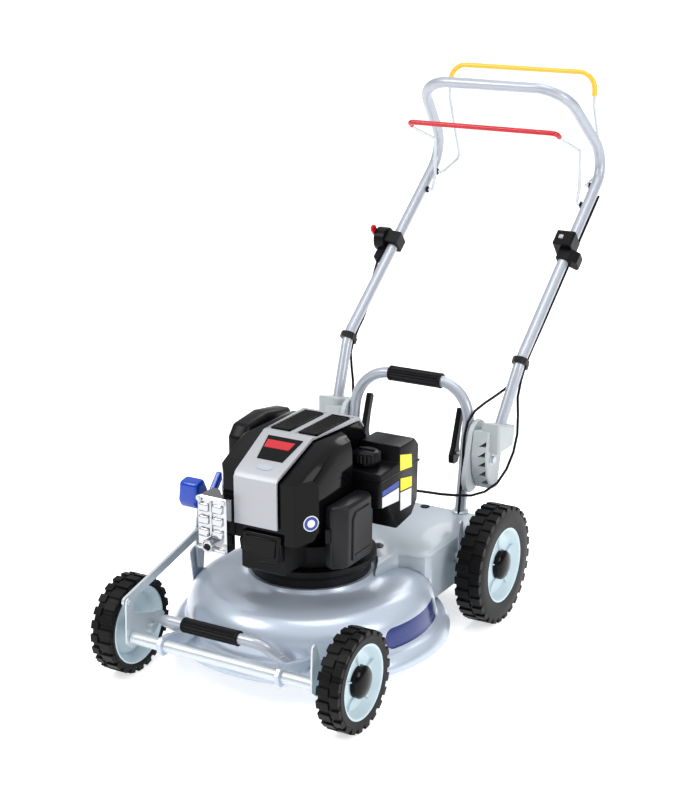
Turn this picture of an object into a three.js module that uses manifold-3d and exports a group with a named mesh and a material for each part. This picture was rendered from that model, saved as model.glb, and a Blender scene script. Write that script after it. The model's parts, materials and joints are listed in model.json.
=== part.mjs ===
// Walk-behind petrol rotary mower: pressed steel deck with a belted rear drive housing, vertical shaft engine,
// folding tube handlebar with two bails, and a one-lever cutting height linkage that turns both axles together.
// Millimetres, +Z up. The front faces -Y and the mower's own left is +X. The group's origin is on the ground,
// under the middle of the overall length; inside it, y is measured back from the front wheels' axle line.
import * as THREE from "three";
import { mergeVertices } from "three/addons/utils/BufferGeometryUtils.js";
import Module from "manifold-3d";

const wasm = await Module();
wasm.setup();

// ---------------------------------------------------------------- driving dimensions
const WHEELBASE = 585; // front axle line to rear axle line
const ORIGIN_Y = 601; // front axle line to the middle of the overall length
const GAP = 0.4; // clearance between pieces that touch

const FRONT_WHEEL = { radius: 100, rim: 80, inner: 234, outer: 283, y: 0, z: 100 };
const REAR_WHEEL = { radius: 128, rim: 88, inner: 237, outer: 295, y: WHEELBASE, z: 128 };
const AXLE_R = 8;
const HUB_R = 24;
const CAP_R = 32;

const CRANK_Y = 275; // the engine's crankshaft stands on the deck's axis
const DECK_TOP = 178;
const DECK_WALL_R = 257;
const DECK_RIM_R = 288;
const DECK_BOTTOM = 48;
const SHEET = 3; // deck and housing sheet thickness

const HOUSING = { half: 204, tongue: 134, front: 268, shoulder: 398, back: 690, top: 191, bottom: 88 };
const RING = { bottomR: 124, topR: 136, bore: 60, top: 218 };

const FRONT_PIVOT = { y: -57, z: 101 };
const REAR_PIVOT = { y: 532, z: 149 };
const LEVER_PIVOT = { y: 202, z: 163 };
const ARM = { y: -7, z: 77 }; // crank pivot to link pin, the same on both axles and the lever
const PIN_R = 5;
const PIN_HOLE_R = 5.7;

const TUBE_R = 12.5;
const WIRE_R = 3.5;
const SLEEVE_R = 6;
const HANDLE = [
  [199.7, 707, 329],
  [218, 803, 515],
  [215, 1268, 890],
  [181, 1082, 1073],
];
const HANDLE_BENDS = [119, 66, 82];
const CARRY = { x: 142, footY: 675, footZ: HOUSING.top + GAP, topY: 719, topZ: 470, bend: 82 };
const HINGE = { y: 695, z: 318, plate: 155.3, face: 166.5, boltR: 4, boltHoleR: 4.7 };

const COVER = { front: 72, back: 366, bottom: 331, brow: 437, crown: 488, crownStart: 190, sheet: 4 };

// ---------------------------------------------------------------- materials
const paint = (color, roughness = 0.35, metalness = 0.1) =>
  new THREE.MeshStandardMaterial({ color, roughness, metalness });
const SILVER_PAINT = paint(0xb4bfce, 0.3, 0.4);
const HOUSING_PAINT = paint(0xd2dae0, 0.4, 0.2);
const TUBE_PAINT = paint(0xb9c0cc, 0.35, 0.4);
const ZINC = paint(0xa8b0b8, 0.35, 0.8);
const TYRE = paint(0x1c1c1e, 0.85, 0);
const RIM = paint(0xbfd8dc, 0.5, 0);
const BLACK = paint(0x1a1a1c, 0.5, 0);
const GLOSS_BLACK = paint(0x0d0d0f, 0.15, 0);
const DARK_GREY = paint(0x46474a, 0.6, 0);
const COVER_GREY = paint(0xc3c6c9, 0.45, 0.1);
const HINGE_GREY = paint(0xc9d2d4, 0.55, 0);
const CHROME = paint(0xe6e8ea, 0.12, 1);
const RED = paint(0xc3122f, 0.35, 0);
const YELLOW = paint(0xf0b92c, 0.4, 0);
const BLUE = paint(0x0d46c8, 0.25, 0);
const STEEL = paint(0x74787c, 0.4, 0.8);

// ---------------------------------------------------------------- solids
function closed(geometry) {
  const bare = new THREE.BufferGeometry();
  const loose = geometry.index ? geometry.toNonIndexed() : geometry;
  bare.setAttribute("position", loose.getAttribute("position"));
  const merged = mergeVertices(bare, 1e-4);
  const vertProperties = merged.attributes.position.array;
  const triVerts = new Uint32Array(merged.index.array);
  const build = () => new wasm.Manifold(new wasm.Mesh({ numProp: 3, vertProperties, triVerts }));
  let body = build();
  if (body.volume() < 0) {
    for (let i = 0; i < triVerts.length; i += 3)
      [triVerts[i + 1], triVerts[i + 2]] = [triVerts[i + 2], triVerts[i + 1]];
    body = build();
  }
  return body;
}
const join = (first, ...rest) => rest.reduce((all, b) => all.add(b), first);
const cut = (first, ...rest) => rest.reduce((left, b) => left.subtract(b), first);

const mower = new THREE.Group();
mower.position.y = -ORIGIN_Y;
function place(name, body, material) {
  const made = body.getMesh();
  const geometry = new THREE.BufferGeometry();
  geometry.setAttribute("position", new THREE.BufferAttribute(new Float32Array(made.vertProperties), 3));
  geometry.setIndex(new THREE.BufferAttribute(new Uint32Array(made.triVerts), 1));
  geometry.computeVertexNormals();
  const mesh = new THREE.Mesh(geometry, material);
  mesh.name = name;
  mower.add(mesh);
}

// The two sides: +1 is the mower's left, -1 its right.
const SIDES = [
  ["left", 1],
  ["right", -1],
];
const V = (x, y, z) => new THREE.Vector3(x, y, z);
const polygon = (points) => new THREE.Shape(points.map(([a, b]) => new THREE.Vector2(a, b)));
function circle(radius, sides) {
  const corner = (i) => (2 * Math.PI * (i + 0.5)) / sides;
  return polygon(
    Array.from({ length: sides }, (_, i) => [radius * Math.cos(corner(i)), radius * Math.sin(corner(i))]),
  );
}

// An outline in X and Y, extruded from z0 to z1. A bevel narrows both ends inside the outline.
function upright(outline, z0, z1, bevel = 0, bevelSegments = 2) {
  const geometry = new THREE.ExtrudeGeometry(polygon(outline), {
    depth: z1 - z0 - 2 * bevel,
    steps: 1,
    bevelEnabled: bevel > 0,
    bevelThickness: bevel,
    bevelSize: bevel,
    bevelOffset: -bevel,
    bevelSegments,
  });
  return closed(geometry.translate(0, 0, z0 + bevel));
}
// An outline in Y and Z, extruded from x0 to x1.
function crosswise(outline, x0, x1, bevel = 0, bevelSegments = 2) {
  const geometry = new THREE.ExtrudeGeometry(polygon(outline), {
    depth: x1 - x0 - 2 * bevel,
    steps: 1,
    bevelEnabled: bevel > 0,
    bevelThickness: bevel,
    bevelSize: bevel,
    bevelOffset: -bevel,
    bevelSegments,
  });
  geometry.translate(0, 0, x0 + bevel);
  // shape x, y and depth become y, z and x
  return closed(geometry.applyMatrix4(new THREE.Matrix4().makeBasis(V(0, 1, 0), V(0, 0, 1), V(1, 0, 0))));
}
const mirrored = (body, side) => (side > 0 ? body : body.mirror([1, 0, 0]));

// Profiles of [radius, height], revolved about a vertical axis at (x, y).
function turned(profile, x, y, segments = 32) {
  const geometry = new THREE.LatheGeometry(
    profile.map(([r, h]) => new THREE.Vector2(r, h)),
    segments,
  );
  return closed(geometry.rotateX(Math.PI / 2).translate(x, y, 0));
}
// Profiles of [radius, x], revolved about an axis along X at (y, z).
function turnedAlongX(profile, y, z, segments = 24) {
  const geometry = new THREE.LatheGeometry(
    profile.map(([r, h]) => new THREE.Vector2(r, h)),
    segments,
  );
  return closed(geometry.rotateZ(-Math.PI / 2).translate(0, y, z));
}
const rod = (radius, x0, x1, y, z, sides = 12) =>
  turnedAlongX([[0, x0], [radius, x0], [radius, x1], [0, x1]], y, z, sides);
const post = (radius, z0, z1, x, y, sides = 20) =>
  turned([[0, z0], [radius, z0], [radius, z1], [0, z1]], x, y, sides);

// A path of straight runs joined by arcs: one station at each end of a run and a few along each arc.
class BentPath extends THREE.Curve {
  constructor(points, radii, arcSteps) {
    super();
    const corners = points.map((p) => V(...p));
    this.stations = [];
    const add = (point, tangent) => this.stations.push({ point, tangent: tangent.normalize() });
    add(corners[0], corners[1].clone().sub(corners[0]));
    for (let i = 1; i < corners.length - 1; i++) {
      const into = corners[i].clone().sub(corners[i - 1]).normalize();
      const out = corners[i + 1].clone().sub(corners[i]).normalize();
      const turn = into.angleTo(out);
      const axis = into.clone().cross(out).normalize();
      const start = corners[i].clone().addScaledVector(into, -radii[i - 1] * Math.tan(turn / 2));
      const toCentre = axis.clone().cross(into);
      const centre = start.clone().addScaledVector(toCentre, radii[i - 1]);
      for (let k = 0; k <= arcSteps; k++) {
        const angle = (turn * k) / arcSteps;
        const spoke = toCentre.clone().multiplyScalar(-radii[i - 1]).applyAxisAngle(axis, angle);
        add(centre.clone().add(spoke), into.clone().applyAxisAngle(axis, angle));
      }
    }
    const last = corners.length - 1;
    add(corners[last], corners[last].clone().sub(corners[last - 1]));
  }
  getPointAt(u, target = new THREE.Vector3()) {
    return target.copy(this.stations[Math.round(u * (this.stations.length - 1))].point);
  }
  getTangentAt(u, target = new THREE.Vector3()) {
    return target.copy(this.stations[Math.round(u * (this.stations.length - 1))].tangent);
  }
}
function bentTube(points, radii, radius, sides = 10, arcSteps = 4) {
  const path = new BentPath(points, radii, arcSteps);
  const steps = path.stations.length - 1;
  return closed(new THREE.ExtrudeGeometry(circle(radius, sides), { steps, extrudePath: path, bevelEnabled: false }));
}
function smoothTube(points, radius, steps, sides = 8) {
  const path = new THREE.CatmullRomCurve3(points.map((p) => V(...p)), false, "centripetal");
  return closed(new THREE.ExtrudeGeometry(circle(radius, sides), { steps, extrudePath: path, bevelEnabled: false }));
}
// A flat link in the YZ plane with a round end at each of two points.
function link(from, to, endR, x0, x1) {
  const along = Math.atan2(to.z - from.z, to.y - from.y);
  const arc = (centre, start) =>
    Array.from({ length: 7 }, (_, i) => {
      const a = start + (Math.PI * i) / 6;
      return [centre.y + endR * Math.cos(a), centre.z + endR * Math.sin(a)];
    });
  return crosswise([...arc(to, along - Math.PI / 2), ...arc(from, along + Math.PI / 2)], x0, x1);
}
const plus = (p, q) => ({ y: p.y + q.y, z: p.z + q.z });

// ---------------------------------------------------------------- deck
const DOME = [
  [130, DECK_TOP],
  [138, 167],
  [158, 161],
  [195, 163],
  [225, 156],
  [247, 135],
  [256, 108],
  [DECK_WALL_R, 80],
  [276, 76],
  [DECK_RIM_R, 60],
  [DECK_RIM_R, DECK_BOTTOM],
];
const CROWN_HOLE_R = 40;
// The dome's profile moved inwards and down by some of the sheet's thickness, as a closed solid to the axis.
function domeInside(depth) {
  const inner = DOME.map(([r, z], i) => [i > 3 ? r - depth : r, i > 9 ? z - 10 : z - depth]);
  return turned([[0, DECK_TOP - depth], ...inner, [0, DECK_BOTTOM - 10]], 0, CRANK_Y, 40);
}
const domeOutside = turned([[0, DECK_TOP], ...DOME, [0, DECK_BOTTOM]], 0, CRANK_Y, 40);
// Saddles welded to the dome carry the front axle tube, and a bracket carries the height lever.
function saddle(side) {
  const outline = [[-74, 92], [-66, 82], [20, 82], [76, 84], [76, 96], [30, 100], [-42, 120], [-66, 120], [-76, 108]];
  const bore = rod(TUBE_R + 0.8, 120, 150, FRONT_PIVOT.y, FRONT_PIVOT.z, 20);
  return mirrored(crosswise(outline, 130, 140).subtract(bore), side);
}
const quadrantArc = Array.from({ length: 8 }, (_, i) => {
  const a = ((50 + 11 * i) * Math.PI) / 180;
  return [LEVER_PIVOT.y + 62 * Math.cos(a), LEVER_PIVOT.z + 62 * Math.sin(a)];
});
const quadrant = crosswise([[182, 120], [226, 120], ...quadrantArc], -235, -231).subtract(
  rod(PIN_HOLE_R, -250, -220, LEVER_PIVOT.y, LEVER_PIVOT.z, 16));
const brackets = cut(join(saddle(1), saddle(-1), quadrant), domeInside(SHEET / 2));
place(
  "deck_shell",
  cut(join(domeOutside, brackets), domeInside(SHEET), post(CROWN_HOLE_R, 100, 200, 0, CRANK_Y, 32)),
  SILVER_PAINT,
);
const domeEnvelope = turned(
  [[0, DECK_TOP + GAP], ...DOME.map(([r, z]) => [r + GAP, z + GAP]), [DECK_RIM_R + GAP, 0], [0, 0]], 0, CRANK_Y, 40);

// The rear housing: a T in plan, whose narrow front runs up to the engine, with its edges rounded over.
function housingPlan(inset) {
  const h = HOUSING.half - inset;
  const t = HOUSING.tongue - inset;
  const sh = HOUSING.shoulder + inset;
  const half = [
    [t, HOUSING.front + inset],
    [t, sh - 26],
    [t + 8, sh - 8],
    [t + 26, sh],
    [h - 26, sh],
    [h - 8, sh + 8],
    [h, sh + 26],
    [h, HOUSING.back - inset],
  ];
  return [...half, ...half.map(([x, y]) => [-x, y]).reverse()];
}
const BACK_SLOPE = [[684, 200], [704, 200], [704, 80], [692, 80], [692, 150]];
const EDGE_R = 12;
const housingOutside = upright(housingPlan(0), HOUSING.bottom - EDGE_R, HOUSING.top, EDGE_R, 2);
const housingInside = upright(housingPlan(SHEET), HOUSING.bottom - 2 * EDGE_R, HOUSING.top - SHEET, EDGE_R, 2);
place(
  "rear_housing",
  cut(
    housingOutside,
    housingInside,
    domeEnvelope,
    crosswise(BACK_SLOPE, -250, 250),
    upright([[-250, 200], [250, 200], [250, 720], [-250, 720]], 0, HOUSING.bottom),
    post(RING.topR + 2, 150, 260, 0, CRANK_Y, 40),
    rod(AXLE_R + 2.5, -250, 250, REAR_PIVOT.y, REAR_PIVOT.z, 20),
  ),
  HOUSING_PAINT,
);
const FLAP = { y: 692.6, thick: 5, top: 86, bottom: 42, half: 198 };
place(
  "rear_flap",
  crosswise(
    [[FLAP.y - 20, FLAP.top], [FLAP.y, FLAP.top], [FLAP.y + 4, FLAP.bottom], [FLAP.y + 4 - FLAP.thick, FLAP.bottom],
      [FLAP.y - FLAP.thick, FLAP.top - 5], [FLAP.y - 20, FLAP.top - 5]],
    -FLAP.half, FLAP.half),
  BLACK,
);

// Front carrying tube: a low bar across the dome with its two ends turned back into the deck.
const GRIP_R = 15;
const FRONT_CARRY = { y: -18, z: 135, right: -170, left: 66, radius: 11, bend: 30 };
const frontCarryPath = [
  [108, 32, 74],
  [FRONT_CARRY.left, FRONT_CARRY.y, FRONT_CARRY.z],
  [FRONT_CARRY.right, FRONT_CARRY.y, FRONT_CARRY.z],
  [-178, 70, 72],
];
const frontCarryTube = bentTube(frontCarryPath, [FRONT_CARRY.bend, FRONT_CARRY.bend], FRONT_CARRY.radius);
place("front_carry_tube", cut(frontCarryTube, domeEnvelope), TUBE_PAINT);
const gripSleeve = (radius, bore, x0, x1, y, z) =>
  turnedAlongX([[bore, x0], [radius, x0], [radius, x1], [bore, x1], [bore, x0]], y, z, 16);
place(
  "front_carry_grip",
  gripSleeve(GRIP_R, FRONT_CARRY.radius + GAP, -113, 17, FRONT_CARRY.y, FRONT_CARRY.z),
  BLACK,
);

// Rear carrying frame: an upright U whose legs also carry the handlebar hinges.
const carryPath = [
  [CARRY.x, CARRY.footY, CARRY.footZ],
  [CARRY.x, CARRY.topY, CARRY.topZ],
  [-CARRY.x, CARRY.topY, CARRY.topZ],
  [-CARRY.x, CARRY.footY, CARRY.footZ],
];
place(
  "carry_frame",
  cut(
    bentTube(carryPath, [CARRY.bend, CARRY.bend], TUBE_R, 12, 5),
    upright([[-200, 600], [200, 600], [200, 800], [-200, 800]], 100, CARRY.footZ),
    rod(HINGE.boltHoleR, 100, 180, HINGE.y, HINGE.z),
    rod(HINGE.boltHoleR, -180, -100, HINGE.y, HINGE.z),
  ),
  TUBE_PAINT,
);
place("carry_grip", gripSleeve(16.5, TUBE_R + GAP, -58, 58, CARRY.topY, CARRY.topZ), BLACK);

// ---------------------------------------------------------------- handlebar and its hinges
const handlePath = [...HANDLE, ...HANDLE.map(([x, y, z]) => [-x, y, z]).reverse()];
place(
  "handlebar",
  bentTube(handlePath, [...HANDLE_BENDS, ...[...HANDLE_BENDS].reverse()], TUBE_R, 12, 4),
  TUBE_PAINT,
);

const SOCKET_OUTLINE = [[680, 384], [764, 364], [746, 318], [727, 243], [696, 250], [674, 284], [668, 330]];
const SOCKET_TOP = [[684, 402], [768, 380], [757, 335], [684, 335]];
const footBore = bentTube(HANDLE.slice(0, 3), HANDLE_BENDS.slice(0, 1), TUBE_R + GAP, 12, 4);
const CAM_LEVER = { outer: 120, inner: 108 };
function hinge(name, side) {
  const bolt = rod(HINGE.boltHoleR, HINGE.plate - 2, 260, HINGE.y, HINGE.z);
  const plate = link({ y: 684, z: 276 }, { y: 712, z: 362 }, 36, HINGE.plate, HINGE.face);
  place("hinge_plate_" + name, mirrored(cut(plate, bolt), side), HINGE_GREY);
  const socket = cut(
    join(
      crosswise(SOCKET_OUTLINE, HINGE.face + GAP, 206, 3, 1),
      crosswise(SOCKET_TOP, 184, 228, 4, 1),
    ),
    footBore,
    bolt,
  );
  place("hinge_socket_" + name, mirrored(socket, side), HINGE_GREY);
  const shank = rod(HINGE.boltR, CAM_LEVER.outer + 0.5, 186, HINGE.y, HINGE.z);
  place("clamp_bolt_" + name, mirrored(shank, side), ZINC);
  // The lever hooks over the bolt's inner end; its cam pin lies fore and aft.
  const leverOutline = [
    [678, 299], [690, 294], [705, 294], [716, 312], [711, 332], [720, 370], [733, 405], [730, 412], [716, 416],
    [704, 380], [688, 334], [677, 316],
  ];
  place("cam_lever_" + name, mirrored(crosswise(leverOutline, CAM_LEVER.inner, CAM_LEVER.outer, 2, 1), side), BLACK);
}
SIDES.forEach(([name, side]) => hinge(name, side));

// The bails: bent wires that pivot in the handlebar's sides, each with a coloured sleeve on its bar.
const BAIL_PIVOT_X = 201.8;
function bail(name, points, bends, sleeveFrom, sleeveBend, material) {
  const both = (list) => [...list, ...list.map(([x, y, z]) => [-x, y, z]).reverse()];
  const bothBends = [...bends, ...[...bends].reverse()];
  const bare = bentTube(both(points), bothBends, WIRE_R, 6, 3);
  const core = bentTube(both(points), bothBends, WIRE_R + 2 * GAP, 6, 3);
  const sleevePoints = [sleeveFrom, points[points.length - 1]];
  const sleeve = bentTube(both(sleevePoints), [sleeveBend, sleeveBend], SLEEVE_R, 8, 3);
  place(name + "_wire", bare, ZINC);
  place(name + "_sleeve", cut(sleeve, core), material);
}
const between = (a, b, share) => a.map((v, i) => v + (b[i] - v) * share);
const DRIVE_BAIL = [
  [BAIL_PIVOT_X, 1211, 838],
  [188, 1211, 838],
  [188, 1306, 862],
  [188, 1244, 1020],
  [186, 1249, 1095],
];
bail("drive_bail", DRIVE_BAIL, [6, 16, 40, 40], between(DRIVE_BAIL[3], DRIVE_BAIL[4], 0.3), 40, YELLOW);
const BRAKE_BAIL = [
  [BAIL_PIVOT_X, 1160, 802],
  [188, 1160, 802],
  [188, 1174, 836],
  [188, 1172, 924],
  [188, 1062, 964],
  [186, 1033, 982],
];
bail("brake_bail", BRAKE_BAIL, [6, 12, 14, 16, 12], between(BRAKE_BAIL[4], BRAKE_BAIL[5], 0.45), 12, RED);

// Controls on the handlebar. The straight run's slope gives each piece its place along the tube.
const RUN = { y0: 803, z0: 515, y1: 1268, z1: 890, x0: 218, x1: 215 };
const runLength = Math.hypot(RUN.y1 - RUN.y0, RUN.z1 - RUN.z0);
const runSlope = Math.atan2(RUN.z1 - RUN.z0, RUN.y1 - RUN.y0);
// A body made with Y along the tube, Z square to it and upwards, is set on the run at distance y from its foot.
function onRun(body, distance, side) {
  const share = distance / runLength;
  const matrix = new THREE.Matrix4()
    .makeTranslation(
      RUN.x0 + (RUN.x1 - RUN.x0) * share,
      RUN.y0 + (RUN.y1 - RUN.y0) * share,
      RUN.z0 + (RUN.z1 - RUN.z0) * share,
    )
    .multiply(new THREE.Matrix4().makeRotationX(runSlope));
  return mirrored(body.transform(matrix.elements), side);
}
function alongTube(outline, y0, y1, bevel = 0) {
  // an outline in X and Z, extruded along Y
  const geometry = new THREE.ExtrudeGeometry(polygon(outline), {
    depth: y1 - y0 - 2 * bevel,
    steps: 1,
    bevelEnabled: bevel > 0,
    bevelThickness: bevel,
    bevelSize: bevel,
    bevelOffset: -bevel,
    bevelSegments: 1,
  });
  geometry.translate(0, 0, y0 + bevel);
  return closed(geometry.applyMatrix4(new THREE.Matrix4().makeBasis(V(1, 0, 0), V(0, 0, 1), V(0, 1, 0))));
}
function round(radius, x, z, y0, y1, sides = 16) {
  const corner = (i) => (2 * Math.PI * (i + 0.5)) / sides;
  const ring = Array.from({ length: sides }, (_, i) => [
    x + radius * Math.cos(corner(i)),
    z + radius * Math.sin(corner(i)),
  ]);
  return alongTube(ring, y0, y1);
}
const tubeBore = round(TUBE_R + 2 * GAP, 0, 0, -60, 60);

const THROTTLE_AT = 285;
const throttleDisc = rod(28, 15, 40, 0, 10, 20);
const throttleBody = cut(
  join(
    throttleDisc,
    alongTube([[-16, -16], [24, -16], [30, 10], [24, 26], [-16, 18]], -16, 20, 2),
    alongTube([[14, -14], [32, -14], [32, 8], [14, 8]], -58, -10, 3),
  ),
  tubeBore,
  rod(9, 32, 60, 0, 10, 12),
);
place("throttle_housing", onRun(throttleBody, THROTTLE_AT, -1), BLACK);
const throttleLever = join(
  rod(8.4, 32.6, 46, 0, 10, 12),
  crosswise([[-6, 12], [6, 12], [10, 46], [4, 54], [-6, 54], [-10, 46]], 41, 46),
);
place("throttle_lever", onRun(throttleLever, THROTTLE_AT, -1), RED);

const SWITCH_AT = 335;
const switchBody = cut(
  join(
    alongTube([[-30, -15], [14, -15], [14, 24], [10, 28], [-30, 28]], -21, 21, 2),
    alongTube([[-14, -15], [14, -15], [28, -24], [34, -20], [34, 2], [14, 15], [-14, 15]], -51, -20, 1),
  ),
  tubeBore,
  alongTube([[-21, 23.5], [-9, 23.5], [-9, 40], [-21, 40]], -6, 6),
);
place("start_switch", onRun(switchBody, SWITCH_AT, 1), BLACK);
place("start_button", onRun(alongTube([[-20, 26.5], [-10, 26.5], [-10, 31.5], [-20, 31.5]], -5, 5), SWITCH_AT, 1),
  COVER_GREY);

// A clip on each side's lower bend, with a lug under the tube that holds the cables.
const bendSlope = (Math.atan2(HANDLE[1][2] - HANDLE[0][2], HANDLE[1][1] - HANDLE[0][1]) + runSlope) / 2;
const clipBody = cut(
  join(
    alongTube([[-17, -11], [-10, -19], [10, -19], [17, -11], [17, 6], [9, 14], [-9, 14], [-17, 6]], -7, 7),
    alongTube([[-10, -29], [10, -29], [10, -16], [-10, -16]], -7, 7),
  ),
  round(3.5, -4.6, -23, -30, 30, 8),
  round(3.5, 4.6, -23, -30, 30, 8),
);
const clipPlace = new THREE.Matrix4()
  .makeTranslation(...HANDLE[1])
  .multiply(new THREE.Matrix4().makeRotationX(bendSlope));
const clip = clipBody.transform(clipPlace.elements).subtract(footBore);
SIDES.forEach(([name, side]) => place("cable_clip_" + name, mirrored(clip, side), BLACK));

// ---------------------------------------------------------------- engine
place(
  "engine_base_ring",
  turned(
    [[RING.bore, DECK_TOP + GAP], [RING.bottomR, DECK_TOP + GAP], [RING.bottomR + 1, 196], [RING.topR, 207],
      [RING.topR, RING.top], [RING.bore, RING.top], [RING.bore, DECK_TOP + GAP]],
    0, CRANK_Y, 32),
  BLACK,
);
place(
  "crankcase",
  join(
    post(112, RING.top + GAP, 262, 0, CRANK_Y, 28),
    post(64, 255, 299.6, 0, CRANK_Y, 20),
    upright([[-50, 96], [50, 96], [50, 260], [-50, 260]], 226, 299.6, 6, 1),
    crosswise([[76, 299.4], [102, 299.4], [102, 262], [82, 258]], -19, 46),
    crosswise([[76, 299.4], [102, 299.4], [102, 280], [80, 275]], -42, 0),
  ),
  DARK_GREY,
);
const SHROUD_SIDE = [[80, 300], [80, 425], [190, 478], [350, 478], [384, 440], [384, 300]];
const SHROUD_PLAN = [[-80, 80], [80, 80], [112, 122], [112, 250], [68, 280], [68, 390], [-112, 390], [-112, 122]];
const shroud = crosswise(SHROUD_SIDE, -112, 112, 26, 2).intersect(upright(SHROUD_PLAN, 280, 500));
const batteryDock = upright([[-150, 212], [-96, 212], [-96, 380], [-150, 380]], 330, 399, 5, 1);
place("blower_housing", join(shroud, batteryDock), GLOSS_BLACK);

const COVER_PLAN = [[-50, 60], [46, 60], [74, 380], [-64, 380]];
const coverSide = [
  [COVER.front, COVER.bottom],
  [COVER.back, COVER.bottom],
  [COVER.back, COVER.crown - 22],
  [COVER.back - 14, COVER.crown],
  [COVER.crownStart, COVER.crown],
  [COVER.front + 8, COVER.brow],
  [COVER.front, COVER.brow - 10],
];
const coverInside = [
  [COVER.front + COVER.sheet, COVER.bottom - 1],
  [COVER.back + 1, COVER.bottom - 1],
  [COVER.back + 1, COVER.crown - 26],
  [COVER.back - 17, COVER.crown - COVER.sheet - 2],
  [COVER.crownStart + 1, COVER.crown - COVER.sheet - 2],
  [COVER.front + COVER.sheet + 2, COVER.brow - 8],
  [COVER.front + COVER.sheet, COVER.brow - 14],
];
// Two recesses in the crown hold the cooling air grilles.
const GRILLES = [
  [11, 63],
  [-55, -1],
];
const grillePlan = (x0, x1) => [
  [x0, 198],
  [x1, 198],
  [x1, 344],
  [x0, 344],
];
const coverShell = cut(crosswise(coverSide, -90, 90), crosswise(coverInside, -100, 100));
const cover = coverShell.intersect(upright(COVER_PLAN, 300, 520));
place(
  "top_cover",
  cut(cover, ...GRILLES.map(([x0, x1]) => upright(grillePlan(x0, x1), COVER.crown - 2, COVER.crown + 9))),
  COVER_GREY,
);
const MUFFLER_PLAN = [[-122, 52], [-54, 50], [-54, 79], [-84, 79], [-104, 104], [-122, 104]];
function turnedAlongY(profile, x, z, segments = 16) {
  const geometry = new THREE.LatheGeometry(profile.map(([r, h]) => new THREE.Vector2(r, h)), segments);
  return closed(geometry.translate(x, 0, z));
}
const outlet = turnedAlongY([[0, 54], [8.5, 54], [8.5, 32], [12, 32], [12, 60], [0, 60]], -88, 284);
place("muffler_guard", join(upright(MUFFLER_PLAN, 268, 382, 4, 1), outlet), CHROME);
place(
  "air_filter_box",
  upright([[113, 142], [132, 134], [156, 160], [156, 250], [146, 262], [113, 262]], 243, 373, 8, 2),
  DARK_GREY,
);
const TANK_SIDE = [
  [268, 334], [300, 330], [343, 268], [404, 277], [430, 305], [434, 424], [418, 440], [352, 440], [343, 408],
  [272, 404],
];
place(
  "fuel_tank",
  crosswise(TANK_SIDE, 69, 165, 6, 2).intersect(
    upright([[60, 286], [86, 270], [86, 263], [170, 263], [170, 440], [60, 440]], 250, 450)),
  BLACK,
);
const CAP = { x: 110, y: 312, r: 28 };
place(
  "fuel_cap",
  turned([[0, 409], [22, 409], [22, 417], [CAP.r, 419], [CAP.r, 432], [24, 437], [0, 437]], CAP.x, CAP.y, 20),
  BLACK,
);
place(
  "battery_pack",
  crosswise([[206, 400], [206, 452], [226, 476], [300, 484], [388, 470], [394, 400]], -156, -113, 8, 2),
  BLACK,
);

// Blade rotor on the crankshaft's lower end.
place("crankshaft", post(12.5, 84, 214, 0, CRANK_Y, 16), STEEL);
place("blade_boss", cut(post(27, 61, 92, 0, CRANK_Y, 20), post(12.5 + GAP, 83.6, 100, 0, CRANK_Y, 16)), STEEL);
const BLADE = { half: 244, width: 28, z: 56, thick: 4, lift: 9 };
place(
  "blade",
  alongTube(
    [[-BLADE.half, BLADE.z + BLADE.lift], [-BLADE.half + 50, BLADE.z + BLADE.lift], [-BLADE.half + 75, BLADE.z],
      [BLADE.half - 75, BLADE.z], [BLADE.half - 50, BLADE.z + BLADE.lift], [BLADE.half, BLADE.z + BLADE.lift],
      [BLADE.half, BLADE.z + BLADE.lift + BLADE.thick], [BLADE.half - 50, BLADE.z + BLADE.lift + BLADE.thick],
      [BLADE.half - 75, BLADE.z + BLADE.thick], [75 - BLADE.half, BLADE.z + BLADE.thick],
      [50 - BLADE.half, BLADE.z + BLADE.lift + BLADE.thick], [-BLADE.half, BLADE.z + BLADE.lift + BLADE.thick]],
    CRANK_Y - BLADE.width, CRANK_Y + BLADE.width),
  STEEL,
);

// ---------------------------------------------------------------- axles, height linkage and wheels
place("front_axle_tube", rod(TUBE_R, -209.5, 209.5, FRONT_PIVOT.y, FRONT_PIVOT.z, 16), TUBE_PAINT);
const FRONT_PLATE = { inner: 210, outer: 214 };
const frontPlateOutline = [
  [-76, 94], [-73, 172], [-71, 183], [-64, 187], [-57, 183], [-47, 150], [14, 128], [44, 122], [52, 112],
  [44, 104], [16, 84], [-30, 76], [-60, 80],
];
SIDES.forEach(([name, side]) => {
  const end = FRONT_WHEEL.outer - 9;
  const stub = turnedAlongX(
    [[0, 200], [10, 200], [10, 216], [AXLE_R, 216], [AXLE_R, end], [0, end]], FRONT_WHEEL.y, FRONT_WHEEL.z, 16);
  const linkPin = plus(FRONT_PIVOT, ARM);
  const pieces = [crosswise(frontPlateOutline, FRONT_PLATE.inner, FRONT_PLATE.outer), stub];
  if (side < 0) pieces.push(rod(PIN_R, FRONT_PLATE.inner - 3, 224, linkPin.y, linkPin.z));
  place("front_crank_" + name, mirrored(join(...pieces), side), ZINC);
});

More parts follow.
